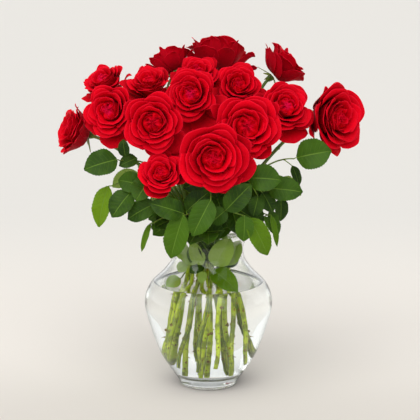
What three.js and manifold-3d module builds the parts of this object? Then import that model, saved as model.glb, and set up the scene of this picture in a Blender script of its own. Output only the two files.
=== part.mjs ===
// Red roses in a clear glass vase: a ginger-jar vase with water in it and eighteen cut roses,
// each with its bloom, its leafy stem and its sepals. Millimetres, +Z up. The origin is the middle
// of the vase's foot, on the table; -Y is the side that the flowers mostly face.
import * as THREE from "three";
import { mergeVertices } from "three/addons/utils/BufferGeometryUtils.js";
import Module from "manifold-3d";

const wasm = await Module();
wasm.setup();
const { Manifold } = wasm;

// ---------- Driving dimensions ----------
const VASE_WALL = 3;
const VASE_FLOOR = 15; // thickness of the foot's glass
const VASE_SIDES = 24;
const VASE_FOOT_RADIUS = 38;
const VASE_FLOOR_RADIUS = 37; // of the flat floor inside
const VASE_FILLET = 2; // height of the bend from that floor into the wall
const VASE_RINGS = 9;
// Radius and height of the outside, from the foot to the lip.
const VASE_OUTLINE = [
  [39.5, 5],
  [53, 25],
  [66, 48],
  [79, 86],
  [84, 112],
  [77, 134],
  [58, 154],
  [47.5, 170],
  [46, 186],
  [54, 201],
  [64, 211],
];
const WATER_LEVEL = 137;
const FIT_GAP = 0.4; // between the water and what it touches
const SEAT_GAP = 0.3; // between a bloom and its calyx

const NECK_HEIGHT = 185; // where the stems are bunched most tightly
const FOOT_HEIGHT = 38; // where the stems' feet have spread by FOOT_SPREAD
const FOOT_SPREAD = 2.0;
const FOOT_TWIST = -40; // degrees that the bunch turns from the neck down to FOOT_HEIGHT
const STEM_RADIUS = { foot: 3.3, neck: 3.1, top: 2.1 };
const STEM_BEND = 28; // how close below its bloom a stem turns to face its way
const STEM_LEAD = 0.35; // how long it keeps its direction above the neck, as a share of its reach
const STEM_END = 8; // from the end of a stem to its bloom, inside the calyx
const STEM_SIDES = 5;
const STEM_STEPS = 5;

const LEAF_THICKNESS = 0.8;
const LEAF_ARCH = 0.07; // how far a leaflet bows out along its midrib, as a share of its length
const LEAF_FOLD = 0.22; // how far its halves rise beside the midrib, as a share of the half width
const LEAF_FACES = { side: 0.35, up: 0.4 }; // a leaflet faces the front or back, and so far aside and up
const STALK_RADIUS = 1.1; // of a leaf's main stalk
const STALK_STEPS = 3;
const STALK_SHORT = 5; // how far it stops short of the end leaflet
const STALK_ROOT = 0.15; // how far inside its end a leaflet starts, as a share of a step
const STALK_RISE = 0.16; // how far it bows upwards, as a share of its length
const STALKLET_WIDTH = 1.1; // of a leaflet's own short, flat stalk
const PETAL_THICKNESS = 0.8;
const SLOPE_STEP = 0.01; // along a petal, to find its slope
const BLOOM_DEPTH = 0.75; // from the calyx to the middle of the rim, as a share of the bloom's radius

// The swelling below the bloom, and on it the star of sepals bent back.
const HIP = [[0, -11], [2.2, -10], [4.4, -5.5], [4.6, -0.7], [0, -0.7]];
const SEPAL = { count: 5, root: 5.8, length: 22, droop: 9, thickness: 0.8 };

const RED = new THREE.MeshStandardMaterial({ name: "petal", color: 0xc4001c, roughness: 0.6 });
const GREEN = new THREE.MeshStandardMaterial({ name: "leaf", color: 0x2e6b1f, roughness: 0.5 });
const GLASS = new THREE.MeshStandardMaterial({
  name: "glass",
  color: 0xf2f6f5,
  roughness: 0.05,
  transparent: true,
  opacity: 0.3,
});
const WATER = new THREE.MeshStandardMaterial({
  name: "water",
  color: 0xe4efee,
  roughness: 0.02,
  transparent: true,
  opacity: 0.35,
});

// Each rose: where the middle of its rim is, the way it faces (azimuth from -Y towards +X, and
// elevation, in degrees), its diameter, the slot of its stem in the neck (azimuth and radius) and
// the height of its cut foot.
const ROSES = [
  { rim: [-67, -88, 357], faces: [-3, 8], across: 77, slot: [-172, 23], foot: 33 },
  { rim: [6, -110, 317], faces: [2, 3], across: 86, slot: [-128, 23], foot: 30 },
  { rim: [48, -75, 351], faces: [4, 14], across: 86, slot: [-97, 23], foot: 32 },
  { rim: [-124, -40, 367], faces: [-20, 12], across: 72, slot: [165, 23], foot: 35 },
  { rim: [-22, -40, 387], faces: [-8, 18], across: 70, slot: [-165, 11.5], foot: 19 },
  { rim: [-57, -98, 298], faces: [-8, 30], across: 56, slot: [-150, 23], foot: 34 },
  { rim: [98, -28, 371], faces: [18, 24], across: 70, slot: [-67, 23], foot: 30 },
  { rim: [168, 2, 353], faces: [38, 5], across: 90, slot: [-40, 23], foot: 36 },
  { rim: [104, 38, 421], faces: [95, 40], across: 70, slot: [-12, 23], foot: 38 },
  { rim: [13, 84, 434], faces: [172, 62], across: 86, slot: [20, 11.5], foot: 20 },
  { rim: [-53, 66, 423], faces: [-150, 48], across: 62, slot: [85, 11.5], foot: 21 },
  { rim: [-179, 2, 338], faces: [-68, 18], across: 68, slot: [138, 23], foot: 36 },
  { rim: [38, -6, 397], faces: [8, 28], across: 62, slot: [-65, 11.5], foot: 19 },
  { rim: [-138, 40, 399], faces: [-40, 50], across: 62, slot: [110, 23], foot: 34 },
  { rim: [-76, 5, 401], faces: [-12, 55], across: 57, slot: [145, 11.5], foot: 22 },
  { rim: [-13, 18, 410], faces: [5, 45], across: 58, slot: [0, 0], foot: 19 },
  { rim: [-62, 108, 352], faces: [205, 20], across: 76, slot: [75, 23], foot: 33 },
  { rim: [70, 110, 350], faces: [150, 22], across: 76, slot: [18, 23], foot: 35 },
];

// Each leaf: the rose whose stem carries it, the height where it leaves that stem, and its leaflets,
// the end one first, each by its base, its tip and its width.
const LEAVES = [
  {
    rose: 4,
    height: 275,
    leaflets: [
      [[-113, -62, 308], [-153, -72, 297], 34],
      [[-103, -52, 310], [-106, -50, 332], 15],
      [[-89, -50, 308], [-111, -56, 299], 18],
    ],
  },
  { rose: 12, height: 262, leaflets: [[[-125, -58, 274], [-137, -62, 223], 25]] },
  {
    rose: 6,
    height: 245,
    leaflets: [
      [[-96, -66, 268], [-119, -76, 238], 31],
      [[-85, -62, 277], [-112, -60, 282], 27],
      [[-65, -78, 256], [-100, -72, 235], 27],
      [[-72, -68, 284], [-89, -84, 260], 30],
    ],
  },
  {
    rose: 2,
    height: 215,
    leaflets: [
      [[-30, -100, 246], [-46, -92, 190], 30],
      [[-30, -98, 247], [-71, -104, 261], 27],
      [[-27, -86, 247], [4, -84, 274], 27],
    ],
  },
  { rose: 2, height: 290, leaflets: [[[3, -104, 265], [-19, -112, 222], 30]] },
  {
    rose: 3,
    height: 230,
    leaflets: [
      [[50, -90, 240], [73, -84, 192], 27],
      [[21, -98, 251], [52, -96, 283], 28],
      [[22, -94, 251], [3, -92, 234], 22],
      [[47, -96, 241], [44, -98, 217], 17],
    ],
  },
  {
    rose: 3,
    height: 272,
    leaflets: [
      [[50, -80, 288], [89, -84, 286], 34],
      [[61, -76, 265], [55, -82, 240], 20],
      [[67, -62, 267], [80, -66, 242], 20],
    ],
  },
  {
    rose: 7,
    height: 245,
    leaflets: [
      [[74, -62, 272], [117, -66, 268], 31],
      [[77, -50, 242], [87, -50, 208], 15],
      [[91, -44, 257], [91, -44, 227], 18],
    ],
  },
  {
    rose: 8,
    height: 275,
    leaflets: [
      [[111, -38, 307], [154, -42, 316], 39],
      [[107, -14, 293], [116, -16, 267], 13],
    ],
  },
  { rose: 6, height: 230, leaflets: [[[-71, -70, 231], [-81, -74, 201], 12]] },
  {
    rose: 3,
    height: 180,
    leaflets: [
      [[1, -30, 166], [25, -46, 142], 22],
      [[6, -30, 176], [-11, -36, 202], 22],
      [[12, -28, 174], [18, -31, 204], 19],
    ],
  },
  { rose: 2, height: 180, leaflets: [[[-12, -28, 168], [-24, -30, 191], 18]] },
  {
    rose: 8,
    height: 245,
    leaflets: [
      [[88, 48, 262], [125, 66, 240], 30],
      [[72, 44, 256], [84, 74, 232], 27],
      [[80, 34, 266], [108, 10, 250], 27],
    ],
  },
  {
    rose: 18,
    height: 245,
    leaflets: [
      [[52, 82, 250], [74, 112, 222], 30],
      [[40, 68, 250], [22, 98, 232], 27],
    ],
  },
  {
    rose: 17,
    height: 245,
    leaflets: [
      [[-38, 88, 248], [-56, 112, 214], 30],
      [[-30, 72, 250], [-2, 96, 234], 27],
    ],
  },
  {
    rose: 14,
    height: 245,
    leaflets: [
      [[-92, 58, 270], [-130, 72, 250], 30],
      [[-76, 52, 266], [-86, 86, 240], 28],
      [[-78, 40, 268], [-112, 12, 250], 27],
    ],
  },
  { rose: 17, height: 222, leaflets: [[[-8, 74, 226], [-20, 90, 176], 28]] },
];
// The edge of a leaflet's half: share of the length, share of the half width and how far the tooth
// is lifted, as a share of the length.
const LEAF_EDGE = [
  [0.1, 0.55, 0],
  [0.32, 1, 0.03],
  [0.42, 0.86, -0.01],
  [0.62, 0.86, 0.03],
  [0.72, 0.56, 0],
];
const LEAF_RIB = [0.3, 0.62, 1];

// A ring of petals: how many, the half of the angle that one spans in degrees, the rows of points
// from root to lip, the profile as the four points (radius, height) of a cubic Bezier curve, how far
// the edges are tucked in and out, curled back and rounded off, and the ring's own turn in radians.
// Lengths are shares of the bloom's radius.
const OUTER_PETALS = {
  count: 5,
  halfAngle: 41,
  rows: [0, 0.42, 0.78, 1],
  profile: [[0.12, 0.06], [0.92, 0.02], [0.7, 0.85], [1.0, 0.66]],
  tuck: 0.065,
  curl: 0.1,
  round: 0.14,
  turn: 0,
};
const INNER_PETALS = {
  count: 4,
  halfAngle: 51,
  rows: [0, 0.6, 1],
  profile: [[0.17, 0.3], [0.56, 0.24], [0.42, 0.75], [0.6, 0.92]],
  tuck: 0.08,
  curl: 0.05,
  round: 0.1,
  turn: 0.6,
};
const PETAL_COLUMNS = [-1, 0, 1];
const PETAL_NARROWING = 0.25; // of the angle that a petal spans, towards its lip
const BLOOM_TURN = 2.4; // from each bloom to the next, about its stem, in radians
// The rolled petals at the heart: radius and height of the bud that they make together.
const HEART = [[0.12, 0], [0.2, 0.1], [0.22, 0.4], [0.24, 0.74], [0.12, 0.86]];
const HEART_DIP = 0.08; // of its middle

// ---------- Small helpers ----------
const rad = (degrees) => (degrees * Math.PI) / 180;
const vec = (p) => new THREE.Vector3(...p);

function direction([azimuth, elevation]) {
  const a = rad(azimuth);
  const e = rad(elevation);
  return new THREE.Vector3(Math.sin(a) * Math.cos(e), -Math.cos(a) * Math.cos(e), Math.sin(e));
}

// Turns +Z to the way that a bloom faces, with its +Y as near upright as it can be.
function facing(towards) {
  const x = new THREE.Vector3(-towards.y, towards.x, 0).normalize();
  const y = new THREE.Vector3().crossVectors(towards, x);
  return new THREE.Matrix4().makeBasis(x, y, towards);
}

function solidOf(geometry) {
  const plain = geometry.clone();
  plain.deleteAttribute("normal");
  plain.deleteAttribute("uv");
  const merged = mergeVertices(plain, 1e-4);
  return new Manifold(
    new wasm.Mesh({
      numProp: 3,
      vertProperties: merged.attributes.position.array,
      triVerts: new Uint32Array(merged.index.array),
    }),
  );
}

function geometryOf(solid) {
  const mesh = solid.getMesh();
  const geometry = new THREE.BufferGeometry();
  geometry.setAttribute("position", new THREE.BufferAttribute(mesh.vertProperties, 3));
  geometry.setIndex(new THREE.BufferAttribute(mesh.triVerts, 1));
  geometry.computeVertexNormals();
  return geometry;
}

function named(name, geometry, material) {
  const mesh = new THREE.Mesh(geometry, material);
  mesh.name = name;
  return mesh;
}

// A closed surface from points and triangles.
function closed(points, triangles) {
  const geometry = new THREE.BufferGeometry().setFromPoints(points);
  geometry.setIndex(triangles);
  return geometry;
}

// A thin plate from its front and back points and the triangles of its front. The edges that only
// one triangle has become its rim.
function thickened(front, back, face) {
  const count = front.length;
  const triangles = [];
  const seen = new Map();
  for (const [a, b, c] of face) {
    triangles.push(a, b, c, c + count, b + count, a + count);
    for (const [i, j] of [[a, b], [b, c], [c, a]]) {
      if (seen.has(`${j},${i}`)) seen.delete(`${j},${i}`);
      else seen.set(`${i},${j}`, [i, j]);
    }
  }
  for (const [i, j] of seen.values()) triangles.push(i, i + count, j + count, i, j + count, j);
  return solidOf(closed([...front, ...back], triangles));
}

// A round bar through points, with a radius at each.
function bar(points, radii, sides) {
  const rings = [];
  let side = new THREE.Vector3(1, 0, 0);
  points.forEach((p, i) => {
    const before = points[Math.max(i - 1, 0)];
    const after = points[Math.min(i + 1, points.length - 1)];
    const along = new THREE.Vector3().subVectors(after, before).normalize();
    side = side.clone().addScaledVector(along, -side.dot(along)).normalize();
    const across = new THREE.Vector3().crossVectors(along, side);
    for (let k = 0; k < sides; k++) {
      const a = (2 * Math.PI * k) / sides;
      const out = side.clone().multiplyScalar(Math.cos(a)).addScaledVector(across, Math.sin(a));
      rings.push(p.clone().addScaledVector(out, radii[i]));
    }
  });
  const triangles = [];
  const at = (i, k) => i * sides + (k % sides);
  for (let i = 0; i + 1 < points.length; i++)
    for (let k = 0; k < sides; k++)
      triangles.push(at(i, k), at(i, k + 1), at(i + 1, k + 1), at(i, k), at(i + 1, k + 1), at(i + 1, k));
  const last = points.length - 1;
  for (let k = 1; k + 1 < sides; k++)
    triangles.push(at(0, 0), at(0, k + 1), at(0, k), at(last, 0), at(last, k), at(last, k + 1));
  return closed(rings, triangles);
}

// ---------- Vase and water ----------
const outside = new THREE.SplineCurve(VASE_OUTLINE.map(([r, z]) => new THREE.Vector2(r, z)));
const outsidePoints = outside.getPoints(VASE_RINGS);

// The outline moved inwards by a distance, square to the glass.
function inside(distance) {
  return outsidePoints.map((p, i) => {
    const tangent = outside.getTangent(i / VASE_RINGS);
    return new THREE.Vector2(p.x - tangent.y * distance, p.y + tangent.x * distance);
  });
}

function lathe(profile) {
  return new THREE.LatheGeometry(profile, VASE_SIDES).rotateX(Math.PI / 2);
}

function vaseGeometry() {
  const wall = inside(VASE_WALL).filter((p) => p.y > VASE_FLOOR + VASE_FILLET);
  const profile = [
    new THREE.Vector2(0, 0),
    new THREE.Vector2(VASE_FOOT_RADIUS, 0),
    ...outsidePoints,
    ...wall.reverse(),
    new THREE.Vector2(VASE_FLOOR_RADIUS, VASE_FLOOR),
    new THREE.Vector2(0, VASE_FLOOR),
  ];
  return lathe(profile);
}

// The water fills the vase to its level and has a plain hole for each stem.
function waterGeometry() {
  const wall = inside(VASE_WALL + FIT_GAP).filter((p) => p.y > VASE_FLOOR + VASE_FILLET);
  const wet = wall.filter((p) => p.y < WATER_LEVEL);
  const below = wet[wet.length - 1];
  const above = wall[wet.length];
  const share = (WATER_LEVEL - below.y) / (above.y - below.y);
  const profile = [
    new THREE.Vector2(0, VASE_FLOOR + FIT_GAP),
    new THREE.Vector2(VASE_FLOOR_RADIUS - FIT_GAP, VASE_FLOOR + FIT_GAP),
    ...wet,
    below.clone().lerp(above, share),
    new THREE.Vector2(0, WATER_LEVEL),
  ];
  const holes = ROSES.map((rose) => {
    const foot = stemBelow(rose, rose.foot - FIT_GAP);
    const neck = stemBelow(rose, NECK_HEIGHT);
    const radii = [STEM_RADIUS.foot + FIT_GAP, STEM_RADIUS.neck + FIT_GAP];
    return solidOf(bar([foot, neck], radii, STEM_SIDES));
  });
  return geometryOf(solidOf(lathe(profile)).subtract(Manifold.union(holes)));
}

// ---------- Stems ----------
// Below the neck a stem is straight: the whole bunch widens and turns towards its feet, so that
// the stems pass one another without touching.
function stemBelow(rose, height) {
  const t = (NECK_HEIGHT - height) / (NECK_HEIGHT - FOOT_HEIGHT);
  const twist = rad(FOOT_TWIST);
  const real = 1 - t + t * FOOT_SPREAD * Math.cos(twist);
  const turned = t * FOOT_SPREAD * Math.sin(twist);
  const [azimuth, radius] = rose.slot;
  const x = radius * Math.cos(rad(azimuth));
  const y = radius * Math.sin(rad(azimuth));
  return new THREE.Vector3(real * x - turned * y, turned * x + real * y, height);
}

// Where the bloom sits on its calyx.
function calyxOf(rose) {
  return vec(rose.rim).addScaledVector(direction(rose.faces), (-BLOOM_DEPTH * rose.across) / 2);
}

// Above the neck a stem bends from its slot up to the back of its bloom.
function stemCurve(rose) {
  const neck = stemBelow(rose, NECK_HEIGHT);
  const calyx = calyxOf(rose);
  const upwards = neck.clone().sub(stemBelow(rose, rose.foot)).normalize();
  const top = calyx.clone().addScaledVector(direction(rose.faces), -STEM_END);
  const reach = neck.distanceTo(top);
  return new THREE.CubicBezierCurve3(
    neck,
    neck.clone().addScaledVector(upwards, STEM_LEAD * reach),
    top.clone().addScaledVector(direction(rose.faces), -STEM_BEND),
    top,
  );
}

// The middle of a stem at a height.
function stemAt(rose, height) {
  if (height <= NECK_HEIGHT) return stemBelow(rose, height);
  const finely = stemCurve(rose).getPoints(60);
  return finely.find((p) => p.z >= height);
}

function stemSolid(rose) {
  const points = [stemBelow(rose, rose.foot), ...stemCurve(rose).getPoints(STEM_STEPS)];
  const radii = points.map((p, i) =>
    i === 0
      ? STEM_RADIUS.foot
      : STEM_RADIUS.neck + ((STEM_RADIUS.top - STEM_RADIUS.neck) * (i - 1)) / STEM_STEPS,
  );
  return solidOf(bar(points, radii, STEM_SIDES));
}

function sepalStar() {
  const front = [];
  const back = [];
  const add = (radius, turn, z) => {
    const angle = (2 * Math.PI * turn) / SEPAL.count;
    const p = new THREE.Vector3(radius * Math.cos(angle), radius * Math.sin(angle), z - SEAT_GAP);
    front.push(p);
    back.push(p.clone().setZ(p.z - SEPAL.thickness));
  };
  for (let k = 0; k < SEPAL.count; k++) {
    add(SEPAL.root, k - 0.5, 0);
    add(SEPAL.length, k, -SEPAL.droop);
  }
  const around = 2 * SEPAL.count;
  const star = [[0, 2, 4], [0, 4, 6], [0, 6, 8]];
  for (let k = 0; k < around; k += 2) star.push([k, k + 1, (k + 2) % around]);
  return thickened(front, back, star);
}

function calyxSolid(rose) {
  const profile = HIP.map(([r, z]) => new THREE.Vector2(r, z));
  const hip = new THREE.LatheGeometry(profile, SEPAL.count).rotateX(Math.PI / 2).rotateZ(Math.PI / 10);
  const place = facing(direction(rose.faces)).setPosition(calyxOf(rose));
  return solidOf(hip).add(sepalStar()).transform(place.elements);
}

// ---------- Leaves ----------
// A leaflet with its own short stalk, which starts at foot.
function leafletSolid([base, tip, width], foot) {
  const start = vec(base);
  const run = vec(tip).sub(start);
  const length = run.length();
  const along = run.clone().normalize();
  const outwards = new THREE.Vector3(base[0] + tip[0], base[1] + tip[1], 0).normalize();
  outwards.set(LEAF_FACES.side * outwards.x, Math.sign(outwards.y), LEAF_FACES.up);
  const across = new THREE.Vector3().crossVectors(along, outwards).normalize();
  const face = new THREE.Vector3().crossVectors(across, along);
  const stalk = start.clone().sub(foot).normalize();
  const stalkAcross = across.clone().addScaledVector(stalk, -across.dot(stalk)).normalize();
  const stalkFace = new THREE.Vector3().crossVectors(stalkAcross, stalk);
  const mitre = face.clone().add(stalkFace).divideScalar(1 + face.dot(stalkFace));

  const front = [];
  const back = [];
  const add = (p, normal) => {
    front.push(p.clone().addScaledVector(normal, LEAF_THICKNESS / 2));
    back.push(p.clone().addScaledVector(normal, -LEAF_THICKNESS / 2));
  };
  const bladePoint = (share, half, lift) => {
    const side = (half * width) / 2;
    const arch = 4 * LEAF_ARCH * share * (1 - share) * length;
    const rise = arch + LEAF_FOLD * Math.abs(side) + lift * length;
    const p = start.clone().addScaledVector(along, share * length);
    return p.addScaledVector(across, side).addScaledVector(face, rise);
  };
  for (const share of LEAF_RIB) add(bladePoint(share, 0, 0), face);
  for (const side of [1, -1]) {
    add(foot.clone().addScaledVector(stalkAcross, (side * STALKLET_WIDTH) / 2), stalkFace);
    add(start.clone().addScaledVector(across, (side * STALKLET_WIDTH) / 2), mitre);
    for (const [share, half, lift] of LEAF_EDGE) add(bladePoint(share, side * half, lift), face);
  }

  // Points 0 to 2 are the midrib and the tip, 3 to 9 the right half's edge from the foot, 10 to 16
  // the left half's.
  const right = [[4, 5, 0], [5, 6, 0], [6, 7, 0], [0, 7, 1], [7, 8, 1], [8, 9, 1], [1, 9, 2]];
  const toLeft = (i) => (i < LEAF_RIB.length ? i : i + LEAF_EDGE.length + 2);
  const left = right.map(([a, b, c]) => [toLeft(c), toLeft(b), toLeft(a)]);
  const middle = [[11, 4, 0], [10, 3, 4], [10, 4, 11]];
  return thickened(front, back, [...right, ...left, ...middle]);
}

// The leaf's stalk bends from the stem towards its end leaflet, and the others hang from it.
function leafSolids(leaf) {
  const stem = stemAt(ROSES[leaf.rose - 1], leaf.height);
  const base = vec(leaf.leaflets[0][0]);
  const end = base.clone().lerp(stem, STALK_SHORT / base.distanceTo(stem));
  const bend = stem.clone().lerp(end, 0.5);
  bend.z += STALK_RISE * stem.distanceTo(end);
  const points = new THREE.QuadraticBezierCurve3(stem, bend, end).getPoints(STALK_STEPS);
  const stalk = solidOf(bar(points, points.map(() => STALK_RADIUS), 4));
  const hung = leaf.leaflets.map((leaflet) => {
    const near = points.slice(1).map((p, i) => p.clone().lerp(points[i], STALK_ROOT));
    const from = vec(leaflet[0]);
    return leafletSolid(leaflet, near.reduce((a, b) => (a.distanceTo(from) < b.distanceTo(from) ? a : b)));
  });
  return [stalk, ...hung];
}

// ---------- Blooms ----------
function bezier(points, t) {
  const s = 1 - t;
  const weights = [s * s * s, 3 * s * s * t, 3 * s * t * t, t * t * t];
  return [0, 1].map((k) => weights.reduce((sum, w, i) => sum + w * points[i][k], 0));
}

// A point of a petal, in the bloom's own frame: u runs across it from -1 to 1, v from root to lip.
// One edge is tucked in and the other out, square to the petal, so that neighbours overlap like the
// blades of a fan.
function petalPoint(petals, turn, radius, u, v) {
  const along = v * (1 - petals.round * u * u);
  const [r, z] = bezier(petals.profile, along);
  const [nextR, nextZ] = bezier(petals.profile, along + SLOPE_STEP);
  const shift = (petals.tuck * u * Math.sqrt(v)) / Math.hypot(nextR - r, nextZ - z);
  const out = r + shift * (nextZ - z) + petals.curl * u * u * along ** 3;
  const up = z - shift * (nextR - r) - petals.curl * u * u * along;
  const angle = turn + u * rad(petals.halfAngle) * (1 - PETAL_NARROWING * v ** 4);
  return new THREE.Vector3(out * Math.cos(angle), out * Math.sin(angle), up).multiplyScalar(radius);
}

function petalSolid(petals, turn, radius) {
  const front = [];
  const back = [];
  const add = (u, v) => {
    const w = Math.max(v, SLOPE_STEP);
    const at = (du, dv) => petalPoint(petals, turn, radius, u + du, w + dv);
    const across = at(SLOPE_STEP, 0).sub(at(-SLOPE_STEP, 0));
    const along = at(0, 0).sub(at(0, -SLOPE_STEP));
    const out = across.cross(along).normalize().multiplyScalar(PETAL_THICKNESS / 2);
    const p = petalPoint(petals, turn, radius, u, v);
    front.push(p.clone().add(out));
    back.push(p.clone().sub(out));
  };
  add(0, petals.rows[0]);
  for (const v of petals.rows.slice(1)) for (const u of PETAL_COLUMNS) add(u, v);

  // Point 0 is the root, and the other rows follow it.
  const columns = PETAL_COLUMNS.length;
  const at = (row, column) => (row === 0 ? 0 : 1 + (row - 1) * columns + column);
  const face = [];
  for (let c = 0; c + 1 < columns; c++) {
    face.push([0, at(1, c + 1), at(1, c)]);
    for (let row = 1; row + 1 < petals.rows.length; row++) {
      face.push([at(row, c), at(row, c + 1), at(row + 1, c + 1)]);
      face.push([at(row, c), at(row + 1, c + 1), at(row + 1, c)]);
    }
  }
  return thickened(front, back, face);
}

function heartSolid(turn, radius) {
  const profile = [[0, 0], ...HEART, [0, HEART[HEART.length - 1][1] - HEART_DIP]];
  const points = profile.map(([r, z]) => new THREE.Vector2(r * radius, z * radius));
  const heart = new THREE.LatheGeometry(points, OUTER_PETALS.count).rotateX(Math.PI / 2);
  return solidOf(heart.rotateZ(turn + Math.PI / 2 + Math.PI / OUTER_PETALS.count));
}

function bloomSolid(rose, index) {
  const radius = rose.across / 2;
  const start = index * BLOOM_TURN;
  const pieces = [heartSolid(start, radius)];
  for (const petals of [OUTER_PETALS, INNER_PETALS]) {
    for (let k = 0; k < petals.count; k++) {
      const turn = start + petals.turn + (2 * Math.PI * k) / petals.count;
      pieces.push(petalSolid(petals, turn, radius));
    }
  }
  const place = facing(direction(rose.faces)).setPosition(calyxOf(rose));
  return Manifold.union(pieces).transform(place.elements);
}

// ---------- Assembly ----------
const roses = new THREE.Group();
roses.add(named("vase", vaseGeometry(), GLASS));
roses.add(named("water", waterGeometry(), WATER));
ROSES.forEach((rose, index) => {
  const number = String(index + 1).padStart(2, "0");
  roses.add(named(`bloom_${number}`, geometryOf(bloomSolid(rose, index)), RED));
  const leaves = LEAVES.filter((leaf) => leaf.rose === index + 1).flatMap(leafSolids);
  const green = Manifold.union([stemSolid(rose), calyxSolid(rose), ...leaves]);
  roses.add(named(`stem_${number}`, geometryOf(green), GREEN));
});

export default roses;
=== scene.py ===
"""Red roses in a clear glass vase of water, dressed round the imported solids.

The tables are in millimetres and repeat the solids' driving dimensions, but the stems are thinner,
because the water magnifies them. MM turns them into metres when a mesh is made. +Z is up, the
origin is the middle of the vase's foot and -Y is the front.
"""
from collections import namedtuple
from math import cos, pi, radians, sin

import bpy
import numpy as np
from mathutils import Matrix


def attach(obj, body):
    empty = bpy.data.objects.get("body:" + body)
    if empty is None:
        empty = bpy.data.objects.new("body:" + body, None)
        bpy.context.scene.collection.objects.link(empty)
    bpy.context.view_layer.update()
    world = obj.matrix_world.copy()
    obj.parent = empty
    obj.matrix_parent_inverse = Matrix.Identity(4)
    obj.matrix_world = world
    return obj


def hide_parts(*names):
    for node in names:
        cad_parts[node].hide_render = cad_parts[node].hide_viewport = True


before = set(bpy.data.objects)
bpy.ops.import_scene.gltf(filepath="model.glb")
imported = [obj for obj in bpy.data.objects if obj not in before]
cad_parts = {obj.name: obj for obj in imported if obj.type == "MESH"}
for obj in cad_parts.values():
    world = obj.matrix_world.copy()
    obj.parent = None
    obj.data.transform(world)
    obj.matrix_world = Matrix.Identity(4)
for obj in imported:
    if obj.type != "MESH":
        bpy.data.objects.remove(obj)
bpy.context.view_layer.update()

MM = 0.001
SEED = 7
GOLDEN_ANGLE = 137.508

# ---The vase and its water ---
VASE_WALL = 3
VASE_FLOOR = 15
VASE_BEND = {"height": 20, "radius": 33}  # where the wall starts to bend into the floor, and ends
VASE_OUTLINE = [
    [39.5, 5], [53, 25], [66, 48], [79, 86], [84, 112], [77, 134],
    [58, 154], [47.5, 170], [46, 186], [54, 201], [64, 211],
]
# The foot below the outline: the push-up in its middle, the ring it stands on and its round edge.
VASE_FOOT = [
    [0.5, 2.6], [14, 2.4], [24, 1.7], [29, 0.8], [31, 0.1], [32, 0],
    [34, 0], [36.2, 0.1], [37.5, 0.6], [38.3, 1.5], [38.8, 2.8],
]
VASE_RINGS = 90
VASE_SIDES = 160
AXIS_RING = 0.5  # radius of the small caps on the axis
WATER_LEVEL = 137
WATER_OVERLAP = 0.2  # how far the water reaches into the glass, so that no film of air shows
WATER_RINGS = (AXIS_RING, 20, 45)
MENISCUS = {"height": 1.6, "width": 4.0}

# ---The stems ---
NECK_HEIGHT = 185
FOOT_HEIGHT = 38
FOOT_SPREAD = 2.0
FOOT_TWIST = -40
STEM_RADIUS = {"foot": 2.6, "neck": 2.6, "top": 2.0}
STEM_SWAY = {"size": 1.8, "length": 110, "fades_over": 50}  # below the neck
STEM_BEND = 28
STEM_LEAD = 0.35
STEM_END = 8
STEM_SIDES = 16
STEM_ROWS = {"below": 39, "above": 48}
# A stem's nodes: where the first is, the steps from one to the next in water and above it, how much
# of the top has none, and how high and long the swelling is.
NODES = {"first": (6, 14), "wet": (11, 19), "dry": (28, 40), "bare": 40, "swelling": 0.4, "length": 2.6}
NUB_RADII = np.array([1.5, 1.2, 0.3])
THORNS = {"share": 0.6, "beyond": (4, 9), "size": (2.4, 4.2), "sunk": 0.8}
THORN_RADII = np.array([0.34, 0.25, 0.17, 0.1, 0.05, 0.015])
BLOOM_DEPTH = 0.75
HIP = [
    [0.3, -11], [1.8, -10.6], [2.4, -9.6], [3.5, -7.4], [4.4, -5.2],
    [4.7, -3], [4.5, -1.2], [3.6, -0.7], [0.3, -0.7],
]
SEPAL = {
    "count": 5, "root": 2.6, "length": 22, "droop": 9, "width": 6.6, "thickness": 0.5,
    "hook": (-0.12, 0.16),
}

# ---The leaves ---
LEAF_THICKNESS = 0.4
LEAF_ARCH = 0.07
LEAF_FOLD = 0.22
LEAF_FACES = {"side": 0.35, "up": 0.4}
LEAF_TEETH = 13
LEAF_VEINS = 8
# Along the leaf: the share of its width, and how far its sides lift, as shares of its length.
LEAF_OUTLINE = (
    [0, 0.03, 0.09, 0.2, 0.34, 0.48, 0.64, 0.8, 0.92, 1],
    [0.04, 0.30, 0.62, 0.90, 1, 1, 0.94, 0.72, 0.38, 0.01],
)
LEAF_LIFT = ([0, 0.1, 0.32, 0.42, 0.62, 0.72, 1], [0, 0, 0.03, -0.01, 0.03, 0, 0])
LEAF_RELIEF = 0.014  # of its puckers and ripples
MIDRIB_SUNK = 0.45
STALK_RADIUS = 1.1
STALK_SHORT = 5
STALK_RISE = 0.16
STALK_TINT = 2.0  # the share in its tone, by which the stem's material makes it lighter

Rose = namedtuple("Rose", "rim faces across slot foot")
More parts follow.
